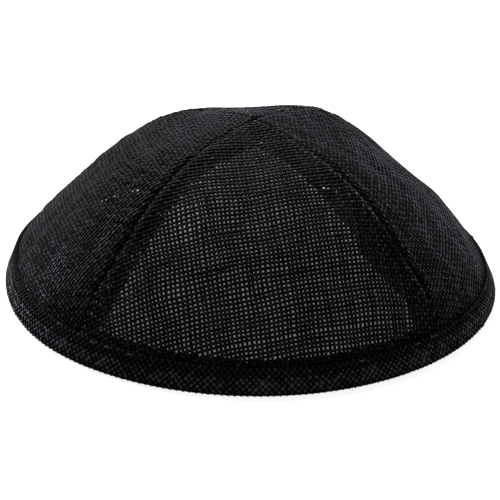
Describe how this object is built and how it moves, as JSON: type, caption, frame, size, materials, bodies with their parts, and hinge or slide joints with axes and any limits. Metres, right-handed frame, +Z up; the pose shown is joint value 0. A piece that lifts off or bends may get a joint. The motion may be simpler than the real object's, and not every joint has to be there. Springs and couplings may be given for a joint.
{
  "type": "kippah",
  "caption": "Round skullcap of coarse open-weave black linen: sewn panels that meet at the crown, with a folded binding round the rim.",
  "frame": {"origin": "centre of the rim, on the surface that the cap rests on", "axes": "+Z up through the crown; -Y is the side that faces the viewer, and +X is to the viewer's right"},
  "size_m": [0.1599, 0.1598, 0.0527],
  "materials": {
    "panel_linen": "matte coarse open weave",
    "binding_linen": "matte coarse open weave cut on the bias"
  },
  "bodies": {
    "root": {"panel_front": "panel_linen", "panel_right": "panel_linen", "panel_back": "panel_linen", "panel_left": "panel_linen", "rim_binding": "binding_linen"}
  },
  "joints": []
}
